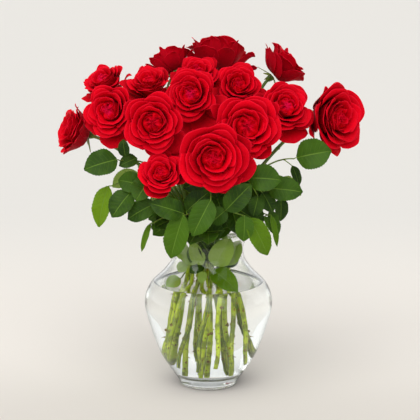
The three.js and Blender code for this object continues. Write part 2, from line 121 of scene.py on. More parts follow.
# Each rose: the middle of its rim, the way it faces (azimuth from -Y towards +X, and elevation, in
# degrees), its diameter, its slot in the neck (azimuth and radius) and the height of its cut foot.
ROSES = [
    Rose((-67, -88, 357), (-3, 8), 77, (-172, 23), 33),
    Rose((6, -110, 317), (2, 3), 86, (-128, 23), 30),
    Rose((48, -75, 351), (4, 14), 86, (-97, 23), 32),
    Rose((-124, -40, 367), (-20, 12), 72, (165, 23), 35),
    Rose((-22, -40, 387), (-8, 18), 70, (-165, 11.5), 19),
    Rose((-57, -98, 298), (-8, 30), 56, (-150, 23), 34),
    Rose((98, -28, 371), (18, 24), 70, (-67, 23), 30),
    Rose((168, 2, 353), (38, 5), 90, (-40, 23), 36),
    Rose((104, 38, 421), (95, 40), 70, (-12, 23), 38),
    Rose((13, 84, 434), (172, 62), 86, (20, 11.5), 20),
    Rose((-53, 66, 423), (-150, 48), 62, (85, 11.5), 21),
    Rose((-179, 2, 338), (-68, 18), 68, (138, 23), 36),
    Rose((38, -6, 397), (8, 28), 62, (-65, 11.5), 19),
    Rose((-138, 40, 399), (-40, 50), 62, (110, 23), 34),
    Rose((-76, 5, 401), (-12, 55), 57, (145, 11.5), 22),
    Rose((-13, 18, 410), (5, 45), 58, (0, 0), 19),
    Rose((-62, 108, 352), (205, 20), 76, (75, 23), 33),
    Rose((70, 110, 350), (150, 22), 76, (18, 23), 35),
]

# Each leaf: the rose whose stem carries it, the height where it leaves that stem, and its leaflets,
# the end one first, each by its base, its tip and its width, and its lightness where that is known.
# A leaflet's lightness is partly its own tone and partly painted light and shade.
LEAVES = [
    (4, 275, [
        ([-113, -62, 308], [-153, -72, 297], 34, 0.3), ([-103, -52, 310], [-106, -50, 332], 15, 0),
        ([-89, -50, 308], [-111, -56, 299], 18, 0),
    ]),
    (12, 262, [([-125, -58, 274], [-137, -62, 223], 25, 1)]),
    (6, 245, [
        ([-96, -66, 268], [-119, -76, 238], 31, 0.2), ([-85, -62, 277], [-112, -60, 282], 27, 0.35),
        ([-65, -78, 256], [-100, -72, 235], 27, 0.25), ([-72, -68, 284], [-89, -84, 260], 30, 0.35),
    ]),
    (2, 215, [
        ([-30, -100, 246], [-46, -92, 190], 30, 0.6), ([-30, -98, 247], [-71, -104, 261], 27, 0.2),
        ([-27, -86, 247], [4, -84, 274], 27, 0),
    ]),
    (2, 290, [([3, -104, 265], [-19, -112, 222], 30, 0.4)]),
    (3, 230, [
        ([50, -90, 240], [73, -84, 192], 27, 0.75), ([21, -98, 251], [52, -96, 283], 28, 0.2),
        ([22, -94, 251], [3, -92, 234], 22, 0.3), ([44, -94, 244], [43, -96, 212], 23, 0.45),
        ([32, -70, 250], [62, -74, 230], 26, 0.3), ([28, -60, 248], [38, -62, 214], 25, 0.1),
        ([54, -58, 250], [60, -60, 218], 24, 0.25), ([8, -60, 266], [20, -62, 232], 28, 0),
    ]),
    (3, 272, [
        ([50, -80, 288], [89, -84, 286], 34, 0.35), ([61, -76, 265], [55, -82, 240], 20, 0.2),
        ([67, -62, 267], [80, -66, 242], 20, 0.1),
    ]),
    (7, 245, [
        ([74, -62, 272], [117, -66, 268], 31, 0.3), ([77, -50, 242], [87, -50, 208], 15, 0.4),
        ([91, -44, 257], [91, -44, 227], 18, 0.1),
    ]),
    (8, 275, [([111, -38, 307], [154, -42, 316], 39, 0.4), ([107, -14, 293], [116, -16, 267], 13, 0)]),
    (6, 230, [([-72, -70, 229], [-83, -74, 194], 8, 0.75)]),
    (7, 230, [([78, -62, 238], [86, -64, 198], 8, 0.7), ([70, -60, 236], [82, -62, 214], 9, 0.5)]),
    (3, 180, [
        ([6, -32, 160], [37, -60, 138], 27, 0.75), ([6, -30, 176], [-11, -36, 202], 22, 0),
        ([12, -28, 174], [18, -31, 204], 19, 0.5),
    ]),
    (2, 180, [([-12, -28, 168], [-24, -30, 191], 18, 0.5)]),
    (8, 245, [
        ([88, 48, 262], [125, 66, 240], 30), ([72, 44, 256], [84, 74, 232], 27),
        ([80, 34, 266], [108, 10, 250], 27),
    ]),
    (18, 245, [([52, 82, 250], [74, 112, 222], 30), ([40, 68, 250], [22, 98, 232], 27)]),
    (17, 245, [([-38, 88, 248], [-56, 112, 214], 30), ([-30, 72, 250], [-2, 96, 234], 27)]),
    (14, 245, [
        ([-92, 58, 270], [-130, 72, 250], 30), ([-76, 52, 266], [-86, 86, 240], 28),
        ([-78, 40, 268], [-112, 12, 250], 27),
    ]),
    (17, 222, [([-8, 74, 226], [-20, 90, 176], 28)]),
]
# Leaves that the neck presses against the glass, the pale undersides out, whose colour is partly
# painted light.
NECK_LEAVES = [
    (2, 176, [
        ([-12, -34, 170], [-20, -36, 200], 18, 0.4), ([-16, -32, 168], [-38, -22, 188], 18, 0.3),
        ([-13, -34, 168], [-6, -38, 186], 13, 0.5),
    ]),
    (7, 172, [([8, -34, 166], [27, -38, 206], 30, 0.6), ([22, -30, 166], [40, -20, 198], 22, 0.4)]),
    (1, 150, [([-36, -24, 146], [-54, -28, 137], 17, 0.4)]),
    (4, 172, [([-28, -24, 172], [-39, -18, 200], 20, 0.5), ([-28, -25, 168], [-38, -27, 156], 14, 0.2)]),
    (2, 165, [([-6, -33, 158], [-10, -40, 144], 12, 0.5)]),
]
# Leaves behind those, in the vase's neck and shoulder, painted dark: painted shade.
SHADE_LEAVES = [
    (5, 170, [([-8, -26, 172], [2, -31, 202], 24, 0), ([-6, -24, 166], [-24, -30, 156], 16, 0.1)]),
    (13, 168, [([8, -26, 168], [12, -33, 190], 20, 0.1), ([10, -26, 164], [26, -30, 158], 15, 0.2)]),
    (16, 168, [([-20, -20, 168], [-34, -16, 184], 18, 0.1), ([20, -20, 166], [38, -16, 172], 18, 0.2)]),
]
# Leaves that fill the bunch between its neck and the blooms: how many, the heights where they leave
# their stems, how far out their end leaflets start, how far above that height, how long and wide
# they are, how they slope, and the height that none of them hangs below.
FILL = {
    "count": 30, "height": (206, 272), "reach": (34, 66), "above": (6, 16), "length": (34, 48),
    "width": 0.7, "slope": (-0.75, 0.05), "side_slope": (-0.5, 0.4), "lowest": 206,
}

# ---The petals ---
# By the share of the rim's radius that a petal reaches: the four points (radius, height) of its
# profile, then the half of the angle that it spans in degrees, how far its edges are tucked in and
# out, curled back, how far its lip is rolled in radians, and how far its corners are rounded off.
# Lengths are shares of the bloom's radius.
PETAL_KEYS = [
    [0.03, 0.02, 0.10, 0.09, 0.34, 0.13, 0.66, 0.03, 0.90, 100, 0.030, 0.000, 0.1, 0.08],
    [0.12, 0.03, 0.10, 0.17, 0.30, 0.20, 0.68, 0.12, 0.93, 88, 0.040, 0.010, 0.2, 0.10],
    [0.24, 0.06, 0.08, 0.28, 0.22, 0.27, 0.72, 0.24, 0.94, 74, 0.050, 0.020, 0.3, 0.12],
    [0.38, 0.09, 0.07, 0.36, 0.10, 0.33, 0.84, 0.39, 0.95, 70, 0.050, 0.010, 0.4, 0.09],
    [0.58, 0.10, 0.06, 0.42, 0.04, 0.40, 0.94, 0.60, 0.93, 64, 0.045, 0.035, 0.5, 0.12],
    [0.78, 0.11, 0.06, 0.52, 0.02, 0.50, 0.99, 0.79, 0.85, 59, 0.040, 0.055, 0.5, 0.17],
    [1.00, 0.12, 0.06, 0.66, 0.00, 0.62, 0.97, 1.00, 0.70, 54, 0.035, 0.070, 0.4, 0.23],
]
# How petals vary: by an addend to their reach and height, a factor on the angle, the roll and the
# rounding, the power of the curve that rounds them, and how far they lean.
VARIES = {
    "reach": (-0.06, 0.01), "height": (-0.05, 0.04), "angle": (0.8, 1.1), "roll": (0.3, 1.7),
    "rounding": (0.6, 1.9), "power": (1.3, 2.2), "lean": (-0.06, 0.06),
}
# The whorls from the heart outwards: their number of petals, the shares of the radius that the
# first and the last reach, the turn from one to the next in degrees and its spread in radians.
WHORLS = [
    (8, 0.34, 0.52, GOLDEN_ANGLE, 0.16),
    (6, 0.60, 0.72, GOLDEN_ANGLE, 0.16),
    (5, 0.80, 0.88, 144.0, 0.06),
    (5, 0.96, 1.00, 144.0, 0.06),
]
BUD = (6, 0.05, 0.24, GOLDEN_ANGLE, 0.16)
# The crumpled core that the heart's petals stand in, as (radius, height).
CORE = [
    [0.06, 0.10], [0.24, 0.16], [0.33, 0.40], [0.34, 0.56],
    [0.32, 0.68], [0.26, 0.75], [0.18, 0.79], [0.08, 0.81], [0.01, 0.815],
]
CORE_RINGS = 24
CORE_SIDES = 48
CORE_FOLDS = {"counts": (3, 7), "depth": 0.06, "swirl": (2.2, -1.3)}
CORE_MAP = (0.5, 0.8)  # it has the colour of this place on a petal
CORE_SHARE = 0.3
# An old-fashioned heart is quartered: lobes of small petals, each round a middle of its own.
LOBES = {1: 4, 3: 3, 4: 4, 5: 4, 7: 3, 9: 3, 10: 4, 12: 4, 14: 4, 15: 3, 16: 3, 18: 4}
LOBE = {"petals": (0.03, 0.10, 0.15), "place": 0.13, "turn": 0.6, "away": (0.55, 1.4), "size": (0.92, 1)}
PINK_HEARTS = {4, 5, 7, 14, 16}
RAGGED = {9, 10, 11, 12, 14, 15}
RAGGED_FROM = 0.7
# Loose outermost petals: the rose, and for each the turn in degrees from the rose's right over its
# top, how far it reaches, how high its rim is, half the angle that it spans and, for a pointed one,
# how far its corners are rounded off.
GUARDS = {
    1: [(-48, 1.24, 0.36, 38), (-92, 1.06, 0.5, 34), (150, 1.05, 0.6, 30)],
    2: [(-22, 1.22, 0.5, 38), (20, 1.12, 0.55, 34), (-60, 1.08, 0.5, 34)],
    3: [(150, 1.14, 0.62, 30, 0.5), (-150, 1.12, 0.42, 34), (35, 1.06, 0.62, 34, 0.4),
        (-60, 1.05, 0.5, 36)],
    4: [(-88, 1.3, 0.4, 34), (-150, 1.08, 0.5, 36), (-30, 1.12, 0.4, 34)],
    5: [(-112, 1.5, 0.28, 40), (-62, 1.48, 0.26, 40), (-20, 1.3, 0.3, 34), (-150, 1.3, 0.3, 34)],
    6: [(-112, 1.14, 0.5, 44), (165, 1.12, 0.45, 34), (5, 1.28, 0.5, 38), (52, 1.5, 0.45, 40),
        (90, 1.2, 0.5, 36)],
    7: [(-74, 1.34, 0.36, 38), (-30, 1.16, 0.5, 34), (160, 1.25, 0.36, 34), (-120, 1.2, 0.4, 36)],
    8: [(-84, 1.08, 0.5, 26, 0.5), (-160, 1.06, 0.55, 30), (120, 1.04, 0.7, 28, 0.55),
        (176, 0.94, 0.82, 46, 0.3)],
    9: [(84, 1.08, 0.5, 52, 0.3), (150, 1.12, 0.58, 42, 0.4), (200, 1.1, 0.7, 34, 0.5),
        (118, 1.14, 0.48, 46, 0.3)],
    10: [(178, 1.2, 0.62, 28, 0.6), (156, 1.26, 0.42, 28, 0.6), (196, 1.22, 0.3, 28, 0.6),
         (8, 1.14, 0.8, 28, 0.6), (70, 1.14, 0.4, 34), (112, 1.18, 0.36, 34), (28, 1.16, 0.5, 30, 0.4),
         (90, 1.05, 0.72, 26, 0.4), (134, 1.08, 0.76, 26, 0.5), (52, 1.08, 0.78, 24, 0.5)],
    11: [(-10, 1.18, 0.66, 30, 0.6), (24, 1.2, 0.44, 30, 0.5), (70, 1.14, 0.4, 34),
         (108, 1.1, 0.7, 26, 0.5), (140, 1.16, 0.6, 28, 0.6), (50, 1.06, 0.82, 24, 0.6)],
    12: [(68, 1.02, 0.86, 44, 0.3), (26, 1.1, 0.6, 44), (-14, 1.12, 0.66, 46, 0.3), (-50, 1.02, 0.8, 44)],
    13: [(-95, 1.3, 0.34, 38), (-150, 1.25, 0.36, 36), (-30, 1.22, 0.4, 36), (60, 1.06, 0.6, 34),
         (-80, 0.78, 0.98, 46)],
    14: [(-60, 1.3, 0.3, 40), (-130, 1.15, 0.4, 36), (30, 1.2, 0.6, 30, 0.6), (-8, 1.24, 0.74, 46)],
    15: [(-90, 1.62, 0.26, 44), (-35, 1.45, 0.28, 40), (-145, 1.5, 0.28, 40), (60, 1.15, 0.6, 44),
         (120, 1.2, 0.6, 44), (186, 1.3, 0.78, 46), (-104, 0.74, 1.12, 50), (-40, 0.82, 1.04, 44)],
    16: [(-90, 1.3, 0.3, 40), (-10, 1.25, 0.4, 34), (180, 1.2, 0.4, 34), (50, 1.2, 0.6, 30, 0.5)],
}
GUARD_PROFILE = {"root": (0.12, 0.05), "belly": (0.72, -0.06), "shoulder": 0.74}
GUARD_EDGES = (0.02, 0.05, 0.5)  # tucked, curled and rolled
GUARD_ROUNDING = 0.2
GUARD_LAYER = 1.2
PETAL_REACH = 1.04  # of the outermost, whose loose lips lie a little beyond the solid's
BLOOM_TURN = 2.4
PETAL_ROWS = 17
PETAL_COLUMNS = 17
PETAL_THICKNESS = 0.45
PETAL_NARROWING = 0.25
ROLL_START = 0.8

CAMERA = {"place": (0.002, -1.520, 0.523), "pitch": 10.81, "focal_px": 1190}
FRAME_PX = 420
SENSOR = 36.0


# ---Geometry helpers ---
def unit(v):
    return v / np.linalg.norm(v, axis=-1, keepdims=True)


def bezier(points, t):
    """Points of a Bezier curve at the parameters t, by repeated interpolation."""
    t = np.asarray(t, float)[..., None]
    level = [np.asarray(p, float) for p in points]
    while len(level) > 1:
        level = [(1 - t) * a + t * b for a, b in zip(level, level[1:])]
    return level[0]


def catmull_rom(points, count):
    """A uniform Catmull-Rom spline through points, at count + 1 even parameters."""
    points = np.asarray(points, float)
    last = len(points) - 1
    at = np.linspace(0, last, count + 1)
    i = np.minimum(at.astype(int), last - 1)
    t = (at - i)[:, None]
    p0 = points[np.maximum(i - 1, 0)]
    p1 = points[i]
    p2 = points[i + 1]
    p3 = points[np.minimum(i + 2, last)]
    v0 = (p2 - p0) / 2
    v1 = (p3 - p1) / 2
    cubic = (2 * p1 - 2 * p2 + v0 + v1) * t**3
    return cubic + (-3 * p1 + 3 * p2 - 2 * v0 - v1) * t**2 + v0 * t + p1


def smoothed(values, width):
    """A running mean over an odd number of values."""
    return np.convolve(np.pad(values, width // 2, mode="edge"), np.ones(width) / width, "valid")


def run_along(path):
    """The length of a path up to each of its points."""
    return np.concatenate([[0], np.cumsum(np.linalg.norm(np.diff(path, axis=0), axis=1))])


def around(sides):
    """Even angles round an axis."""
    return np.arange(sides) * 2 * pi / sides


def direction(angles):
    azimuth, elevation = np.radians(angles)
    level = cos(elevation)
    return np.array([sin(azimuth) * level, -cos(azimuth) * level, sin(elevation)])


def facing(towards):
    """The axes, as rows, of a bloom that faces a way, with its Y as near upright as it can be."""
    x = unit(np.array([-towards[1], towards[0], 0]))
    return np.array([x, np.cross(towards, x), towards])


class Surface:
    """Collects points and faces for one mesh.

    Each point has a map (u, v) and a tone: its layer, a share of its own and which face it is on.
    """

    def __init__(self):
        self.points = []
        self.maps = []
        self.tones = []
        self.faces = []
        self.slots = []
        self.count = 0

    def add(self, points, faces, maps, tones, slot):
        self.points.append(points.reshape(-1, 3))
        self.maps.append(maps.reshape(-1, 2))
        self.tones.append(tones.reshape(-1, 3))
        for block in faces:
            self.faces.append(block + self.count)
            self.slots.append(np.full(len(block), slot))
        self.count += len(self.points[-1])

    def build(self, name, materials, sharp=None):
        points = np.concatenate(self.points) * MM
        corners = np.concatenate([block.ravel() for block in self.faces])
        mesh = bpy.data.meshes.new(name)
        mesh.from_pydata(points, [], [face for block in self.faces for face in block.tolist()])
        mesh.polygons.foreach_set("material_index", np.concatenate(self.slots))
        for material in materials:
            mesh.materials.append(material)
        uv = mesh.uv_layers.new(name="map")
        uv.data.foreach_set("uv", np.concatenate(self.maps)[corners].ravel())
        tone = mesh.attributes.new("tone", "FLOAT_VECTOR", "POINT")
        tone.data.foreach_set("vector", np.concatenate(self.tones).ravel())
        mesh.validate()
        mesh.shade_smooth()
        if sharp is not None:
            mesh.set_sharp_from_angle(angle=radians(sharp))
        piece = bpy.data.objects.new(name, mesh)
        bpy.context.scene.collection.objects.link(piece)
        return piece


def quads(left, right):
    """The faces between neighbouring columns of points."""
    return np.stack([c.ravel() for c in (left[:-1], right[:-1], right[1:], left[1:])], axis=1)


def sheet(surface, grid, thickness, maps, tone, slot):
    """A thin closed plate round a grid of points. Its front is the side of columns x rows.

    tone is the layer, the share, and the values of the front and of the back face.
    """
    rows, columns = grid.shape[:2]
    count = rows * columns
    normal = unit(np.cross(np.gradient(grid, axis=1), np.gradient(grid, axis=0)))
    half = normal * np.broadcast_to(thickness, (rows, columns))[..., None] / 2
    index = np.arange(count).reshape(rows, columns)
    front = quads(index[:, :-1], index[:, 1:])
    ring = np.concatenate([index[0, :-1], index[:-1, -1], index[-1, :0:-1], index[:0:-1, 0]])
    after = np.roll(ring, -1)
    rim = np.stack([ring, ring + count, after + count, after], axis=1)
    points = np.concatenate([(grid + half).reshape(-1, 3), (grid - half).reshape(-1, 3)])
    tones = np.empty((2 * count, 3))
    tones[:] = tone[:3]
    tones[count:, 2] = tone[3]
    both = np.concatenate([maps.reshape(-1, 2)] * 2)
    surface.add(points, [front, front[:, ::-1] + count, rim], both, tones, slot)


def rings(surface, points, maps, tones, slot):
    """A closed skin over rings of points, with a flat cap at each end."""
    rows, sides = points.shape[:2]
    index = np.arange(rows * sides).reshape(rows, sides)
    skin = quads(index, np.roll(index, -1, axis=1))
    surface.add(points, [skin, index[:1, ::-1], index[-1:]], maps, tones, slot)


def ring_maps(angles, along):
    """The map of rings of points: once round it, and along it as given for each ring."""
    return np.stack(np.broadcast_arrays(angles / (2 * pi), along), axis=-1)


def tube(surface, path, radii, sides, slot, share=0.5):
    """A round bar along a path. Its map runs once round it and in millimetres along it."""
    path = np.asarray(path, float)
    along = unit(np.gradient(path, axis=0))
    angles = around(sides)
    side = np.array([1, 0, 0])
    points = np.empty((len(path), sides, 3))
    for i in range(len(path)):
        side = unit(side - along[i] * (side @ along[i]))
        across = np.cross(along[i], side)
        out = np.cos(angles)[:, None] * side + np.sin(angles)[:, None] * across
        points[i] = path[i] + out * radii[i]
    maps = ring_maps(angles, run_along(path)[:, None])
    rings(surface, points, maps, np.broadcast_to([0, share, 0], points.shape), slot)


def lathe(surface, profile, sides, slot, place=None):
    """A body turned about Z, or about a placed axis, from (radius, height) points."""
    profile = np.asarray(profile, float)
    angles = around(sides)
    out, up = profile[:, :1], profile[:, 1:]
    points = np.stack([out * np.cos(angles), out * np.sin(angles), up + 0 * angles], axis=-1)
    if place:
        axes, origin = place
        points = points @ axes + origin
    rings(surface, points, ring_maps(angles, up), np.zeros(points.shape), slot)


# ---Material helpers ---
class Graph:
    """The nodes of a new material or world. A value that is a socket is linked, any other is set."""

    def __init__(self, name, kind="materials"):
        self.owner = getattr(bpy.data, kind).new(name)
        self.owner.use_nodes = True
        self.tree = self.owner.node_tree
        self.tree.nodes.clear()

    def node(self, kind, inputs=None, **settings):
        made = self.tree.nodes.new("ShaderNode" + kind)
        for key, value in settings.items():
            setattr(made, key, value)
        for key, value in (inputs or {}).items():
            socket = made.inputs[key]
            if isinstance(value, bpy.types.NodeSocket):
                self.tree.links.new(value, socket)
            else:
                socket.default_value = (*value, 1) if socket.type == "RGBA" else value
        return made

    def math(self, operation, *values):
        return self.node("Math", dict(enumerate(values)), operation=operation).outputs[0]

    def times(self, a, b):
        return self.math("MULTIPLY", a, b)

    def most(self, a, b):
        return self.math("MAXIMUM", a, b)

    def aside(self, u):
        """How far a place is from the middle line of a petal or leaf, 1 at its edge."""
        return self.math("ABSOLUTE", self.math("MULTIPLY_ADD", u, 2.0, -1))

    def mix(self, share, a, b, blend="MIX"):
        inputs = {0: share, 6: a, 7: b}
        return self.node("Mix", inputs, data_type="RGBA", blend_type=blend).outputs[2]

    def step(self, value, low, high, to_low=0, to_high=1):
        """value brought smoothly from low..high to to_low..to_high."""
        inputs = {0: value, 1: low, 2: high, 3: to_low, 4: to_high}
        return self.node("MapRange", inputs, interpolation_type="SMOOTHSTEP").outputs[0]

    def noise(self, vector, scale, detail=3.0, roughness=0.5):
        inputs = {"Vector": vector, "Scale": scale, "Detail": detail, "Roughness": roughness}
        return self.node("TexNoise", inputs).outputs[0]

    def combine(self, x, y, z):
        return self.node("CombineXYZ", {0: x, 1: y, 2: z}).outputs[0]

    def grey(self, value):
        return self.combine(value, value, value)

    def spread(self, u, v, across, along, depth):
        """A place in a pattern that is scaled across and along the map."""
        return self.combine(self.times(u, across), self.times(v, along), depth)

    def split(self, vector):
        return self.node("SeparateXYZ", {0: vector}).outputs

    def map(self):
        """The map's u and v."""
        return self.split(self.node("UVMap", uv_map="map").outputs[0])[:2]

    def tone(self):
        """The layer, the share and the face."""
        tone = self.node("Attribute", attribute_name="tone", attribute_type="GEOMETRY")
        return self.split(tone.outputs[1])

    def place(self):
        return self.node("TexCoord").outputs["Object"]

    def bump(self, height, strength, distance):
        inputs = {"Height": height, "Strength": strength, "Distance": distance}
        return self.node("Bump", inputs).outputs[0]

    def show(self, shader, output="OutputMaterial"):
        """Puts the shader on the material or world, and returns that."""
        self.node(output, {0: shader.outputs[0]})
        return self.owner

    def finish(self, base, roughness, more):
        inputs = {"Base Color": base, "Roughness": roughness, **more}
        return self.show(self.node("BsdfPrincipled", inputs))


def petal_material(name, heart):
    g = Graph(name)
    u, v = g.map()
    layer, share, face = g.tone()
    red = g.mix(g.step(layer, 0.06, 0.24), heart, (0.86, 0, 0.013))
    # A petal is painted darker towards its root, less so in its heart: painted shade in the
    # bloom's crevices. A hanging one is darker all over.
    lit = g.most(g.step(v, 0.2, 0.88), g.step(layer, 0.05, 0.35, 0.7, 0))
    red = g.mix(lit, (0.18, 0, 0.002), red)
    red = g.mix(g.step(layer, 1.02, 1.3, 0, 0.5), red, (0.42, 0, 0.006))
    # Its back is duller and cooler, and painted darker: painted shade.
    red = g.mix(g.times(face, 0.6), red, (0.40, 0, 0.010))
    seed = g.times(share, 57.0)
    veins = g.noise(g.spread(u, v, 44.0, 3.0, seed), 1, 4.0, 0.6)
    red = g.mix(g.step(veins, 0.38, 0.72, 0, 0.18), red, (0.40, 0, 0.004))
    clouds = g.noise(g.place(), 70, 2.0)
    red = g.mix(g.step(clouds, 0.42, 0.62, 0, 0.16), red, (0.55, 0, 0.008))
    red = g.mix(1, red, g.grey(g.math("MULTIPLY_ADD", share, 0.22, 0.82)), "MULTIPLY")
    # Its thin lip and the upper ends of its sides are painted lighter and pinker: a painted
    # highlight along its rim.
    side = g.times(g.step(g.aside(u), 0.96, 1), g.step(v, 0.5, 0.8))
    lip = g.most(g.step(v, 0.96, 1), side)
    red = g.mix(g.times(lip, 0.5), red, (0.98, 0.012, 0.045))
    pores = g.noise(g.spread(u, v, 160, 120, seed), 1, 2.0)
    relief = g.math("ADD", veins, g.times(pores, 0.35))
    return g.finish(red, 0.62, {
        "Specular IOR Level": 0.05,
        "Subsurface Weight": 0.05,
        "Subsurface Radius": (1, 0.02, 0.02),
        "Subsurface Scale": 0.002,
        "Sheen Weight": 0.015,
        "Sheen Roughness": 0.4,
        "Sheen Tint": (1, 0.12, 0.2),
        "Normal": g.bump(relief, 0.35, 0.0006),
    })


def leaf_material():
    g = Graph("rose_leaf")
    u, v = g.map()
    _, light, face = g.tone()
    aside = g.aside(u)
    midrib = g.step(aside, 0.015, 0.06, 1, 0)
    sweep = g.math("MULTIPLY_ADD", aside, -0.2, v)
    phase = g.math("FRACT", g.times(sweep, LEAF_VEINS))
    near = g.math("ABSOLUTE", g.math("SUBTRACT", phase, 0.5))
    lateral = g.step(near, 0.44, 0.5, 0, 0.36)
    lateral = g.times(lateral, g.step(aside, 0.55, 1, 1, 0))
    cells = {"Vector": g.spread(u, v, 18.0, 26.0, light), "Scale": 1.0}
    net = g.node("TexVoronoi", cells, feature="DISTANCE_TO_EDGE").outputs[0]
    mesh = g.step(net, 0, 0.12, 0.3, 0)
    clouds = g.noise(g.place(), 55.0, 3.0)
    green = g.mix(g.step(clouds, 0.35, 0.65), (0.010, 0.034, 0.001), (0.034, 0.086, 0.002))
    # A leaflet's lightness is partly its own tone and partly painted light and shade: darker deep in the
    # bunch, lighter in front.
    green = g.mix(g.step(light, 0.1, 0.6, 0, 0.85), green, (0.060, 0.150, 0.004))
    green = g.mix(g.step(light, 0.5, 1), green, (0.14, 0.26, 0.002))
    green = g.mix(mesh, green, (0.045, 0.105, 0.006))
    veins = g.most(midrib, lateral)
    green = g.mix(g.times(veins, 0.75), green, (0.15, 0.27, 0.030))
    # Its underside is paler, and painted lighter still than a real one: partly its own colour, partly
    # painted light.
    green = g.mix(g.times(face, 0.85), green, (0.29, 0.43, 0.075))
    relief = g.math("SUBTRACT", g.times(mesh, -0.5), veins)
    return g.finish(green, 0.42, {
        "Specular IOR Level": 0.16,
        "Subsurface Weight": 0.04,
        "Subsurface Radius": (0.3, 1, 0.1),
        "Subsurface Scale": 0.0015,
        "Normal": g.bump(relief, 0.5, 0.0008),
    })


def stem_material():
    g = Graph("rose_stem")
    u, v = g.map()
    share = g.tone()[1]
    dry = g.step(g.split(g.place())[2], 0.13, 0.20)
    # Under water a stem is painted far lighter than above: painted light through the glass. There
    # some stems are painted darker than others: painted shade where stems shade each other.
    wet = g.mix(g.step(share, 0, 1), (0.52, 0.70, 0.006), (0.07, 0.14, 0.002))
    upper = g.mix(g.step(share, 1, 2.0), (0.075, 0.16, 0.012), (0.24, 0.38, 0.04))
    green = g.mix(dry, wet, upper)
    # Pale streaks along it, paler still under water: partly its own streaks, partly painted highlights.
    streaks_and_highlights = g.noise(g.spread(u, v, 14.0, 0.05, 0.3), 1, 4.0, 0.6)
    pale = g.mix(dry, (0.74, 0.84, 0.05), (0.20, 0.32, 0.03))
    green = g.mix(g.step(streaks_and_highlights, 0.42, 0.66, 0, 0.65), green, pale)
    shades = g.noise(g.place(), 90, 2.0)
    shaded = g.mix(0.75, green, (0.07, 0.11, 0.003))
    green = g.mix(g.step(shades, 0.46, 0.60, 0, 0.85), green, shaded)
    spots = g.noise(g.place(), 330, 2.0)
    green = g.mix(g.step(spots, 0.62, 0.70, 0, 0.8), green, (0.13, 0.09, 0.003))
    return g.finish(green, 0.36, {
        "Subsurface Weight": 0.06,
        "Subsurface Radius": (0.4, 1, 0.2),
        "Subsurface Scale": 0.002,
        "Normal": g.bump(streaks_and_highlights, 0.3, 0.0006),
    })


def scar_material():
    """Thorns, and the scars and buds at a stem's nodes."""
    g = Graph("rose_thorn")
    blotches = g.noise(g.place(), 500, 3.0)
    brown = g.mix(g.step(blotches, 0.35, 0.65), (0.12, 0.085, 0), (0.38, 0.28, 0))
    return g.finish(brown, 0.55, {"Normal": g.bump(blotches, 0.4, 0.0005)})


def pith_material():
    """The pale cut foot of a stem."""
    g = Graph("rose_pith")
    cells = g.noise(g.place(), 900, 3.0)
    pale = g.mix(cells, (0.42, 0.42, 0.22), (0.62, 0.60, 0.40))
    return g.finish(pale, 0.7, {"Normal": g.bump(cells, 0.3, 0.0005)})


def sepal_material():
    g = Graph("rose_sepal")
    u, v = g.map()
    fibres = g.noise(g.spread(u, v, 30, 3.0, 0), 1, 3.0)
    green = g.mix(fibres, (0.10, 0.20, 0.03), (0.26, 0.36, 0.07))
    green = g.mix(g.step(v, 0.6, 1, 0, 0.4), green, (0.34, 0.18, 0.07))
    return g.finish(green, 0.55, {"Normal": g.bump(fibres, 0.4, 0.0005)})


# Glass and water: the index of refraction, the tints square on, at the edge and at the edge near
# the thin lip, how much light a face lets through to what is behind it, above and at the foot, the
# share of its mirror image that is kept, and the scale, strength and depth of the waves in its face.
# The tints at the edge are painted reflections, which darken the outline.
GLASS = {
    "ior": 1.5, "clear": (0.99, 1, 0.995), "edge": (0.05, 0.06, 0.06), "thin_edge": (0.9, 0.92, 0.92),
    "passes": 0.93, "foot_passes": 0.1, "shine": 0.6, "waves": (14.0, 0.06, 0.002),
}
WATER = {
    "ior": 1.333, "clear": (0.995, 1, 0.99), "edge": (0.95, 0.97, 0.96), "thin_edge": (0.95, 0.97, 0.96),
    "passes": 0.98, "foot_passes": 0.9, "shine": 0.6, "waves": (30, 0.04, 0.001),
}
# Heights in metres between which the glass is ever thinner, its lip begins and its foot ends, the
# share of what is behind the lip that shows unbent, and the slant at which the painted dark edge,
# a painted reflection, sets in.
THIN_ABOVE = (0.180, 0.205)
LIP_ABOVE = (0.2060, 0.2085)
THICK_BELOW = (0.012, 0.050)
LIP_CLEAR = 0.55
EDGE_FROM = (0.66, 0.95)


def clear_material(name, look):
    g = Graph(name)
    height = g.split(g.place())[2]
    # Its colour darkens towards its outline: a painted reflection.
    grazing = g.node("LayerWeight", {"Blend": 0.5}).outputs["Facing"]
    edge = g.mix(g.step(height, *THIN_ABOVE), look["edge"], look["thin_edge"])
    scale, strength, depth = look["waves"]
    shader = g.node("BsdfPrincipled", {
        "Base Color": g.mix(g.step(grazing, *EDGE_FROM), look["clear"], edge),
        "Roughness": 0,
        "Transmission Weight": 1,
        "IOR": look["ior"],
        "Specular Tint": [look["shine"]] * 3,
        "Normal": g.bump(g.noise(g.place(), scale, 1), strength, depth),
    })
    # The light on what stands behind it comes straight through, less of it where it is thick.
    path = g.node("LightPath").outputs
    straight = g.most(path["Is Shadow Ray"], path["Is Diffuse Ray"])
    # The lip is too thin to bend much of it.
    straight = g.most(straight, g.step(height, *LIP_ABOVE, 0, LIP_CLEAR))
    passes = g.step(height, *THICK_BELOW, look["foot_passes"], look["passes"])
    through = g.node("BsdfTransparent", {"Color": g.grey(passes)})
    return g.show(g.node("MixShader", {0: straight, 1: shader.outputs[0], 2: through.outputs[0]}))


# ---Camera, light and stage ---
def make_camera():
    data = bpy.data.cameras.new("camera")
    data.sensor_width = SENSOR
    data.lens = SENSOR * CAMERA["focal_px"] / FRAME_PX
    data.clip_end = 200
    camera = bpy.data.objects.new("camera", data)
    camera.location = CAMERA["place"]
    camera.rotation_euler = (radians(90 - CAMERA["pitch"]), 0, 0)
    bpy.context.scene.collection.objects.link(camera)
    bpy.context.scene.camera = camera


